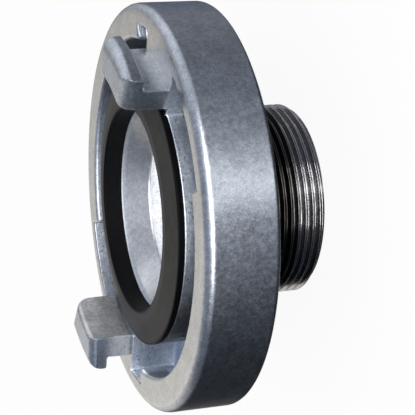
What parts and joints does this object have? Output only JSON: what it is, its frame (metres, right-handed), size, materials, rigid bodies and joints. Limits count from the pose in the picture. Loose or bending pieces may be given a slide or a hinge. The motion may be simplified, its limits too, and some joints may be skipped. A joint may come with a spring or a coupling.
{
  "type": "quarter turn fire hose coupling",
  "caption": "Quarter turn fire hose coupling half with hooked claws, ramped locking lips, a rubber face seal and a male pipe thread on the back.",
  "frame": {"origin": "on the axis of the bore, at the free end of the thread, which the part stands on", "axes": "+Z along the bore towards the claws, X through the middle of both claws"},
  "size_m": [0.126, 0.126, 0.064],
  "materials": {
    "forged_aluminium": "satin, machined on the faces and in the bore",
    "seal_rubber": "matte moulded rubber"
  },
  "bodies": {
    "root": {"coupling_body": "forged_aluminium", "seal_ring": "seal_rubber"}
  },
  "joints": []
}
